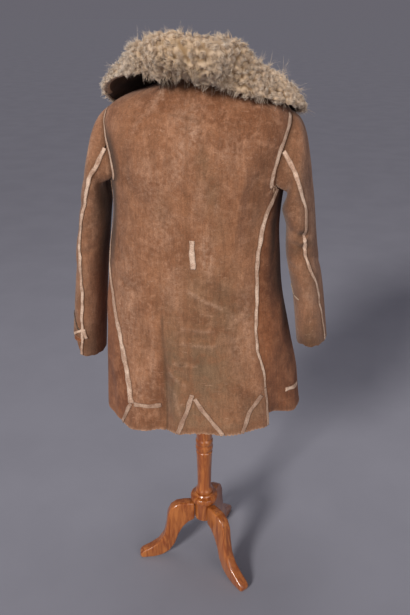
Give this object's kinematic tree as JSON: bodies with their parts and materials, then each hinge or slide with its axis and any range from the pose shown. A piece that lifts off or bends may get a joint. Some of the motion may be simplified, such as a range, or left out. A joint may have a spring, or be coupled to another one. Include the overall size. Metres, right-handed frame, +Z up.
{
  "type": "sheepskin coat on a dress form with a tripod stand",
  "caption": "Long suede sheepskin coat with a turned-up fleece collar, hem gussets and sewn seam strips, hung on a limbless dress form on a turned wooden tripod stand.",
  "frame": {"origin": "on the floor under the middle of the whole object's box", "axes": "+Z up, +Y the way the coat faces with its back to -Y, +X to the wearer's right"},
  "size_m": [0.7004, 0.3972, 1.538],
  "materials": {
    "suede": "worn tan suede",
    "side_suede": "reddish brown suede",
    "sleeve_suede": "worn tan suede",
    "collar_leather": "near black smooth leather",
    "fleece": "curly cream wool",
    "strip_leather": "pale stitched leather",
    "form_cloth": "plain linen cover",
    "stand_wood": "glossy varnish"
  },
  "bodies": {
    "root": {"back": "suede", "front_left": "side_suede", "front_right": "side_suede", "gusset_back_left": "suede", "gusset_back_centre": "suede", "gusset_back_right": "suede", "sleeve_left_upper": "sleeve_suede", "sleeve_left_under": "sleeve_suede", "sleeve_right_upper": "sleeve_suede", "sleeve_right_under": "sleeve_suede", "collar_skin": "collar_leather", "collar_fleece": "fleece", "strip_back_left": "strip_leather", "strip_back_right": "strip_leather", "strip_gusset_left_front": "strip_leather", "strip_gusset_left_back": "strip_leather", "strip_gusset_centre_left": "strip_leather", "strip_gusset_centre_right": "strip_leather", "strip_gusset_right_back": "strip_leather", "strip_gusset_right_front": "strip_leather", "strip_side_right": "strip_leather", "strip_armhole_left": "strip_leather", "strip_armhole_right": "strip_leather", "strip_sleeve_left": "strip_leather", "strip_sleeve_right": "strip_leather", "patch_back": "strip_leather", "form_torso": "form_cloth", "stand_post": "stand_wood", "stand_hub": "stand_wood", "stand_leg_1": "stand_wood", "stand_leg_2": "stand_wood", "stand_leg_3": "stand_wood"}
  },
  "joints": []
}
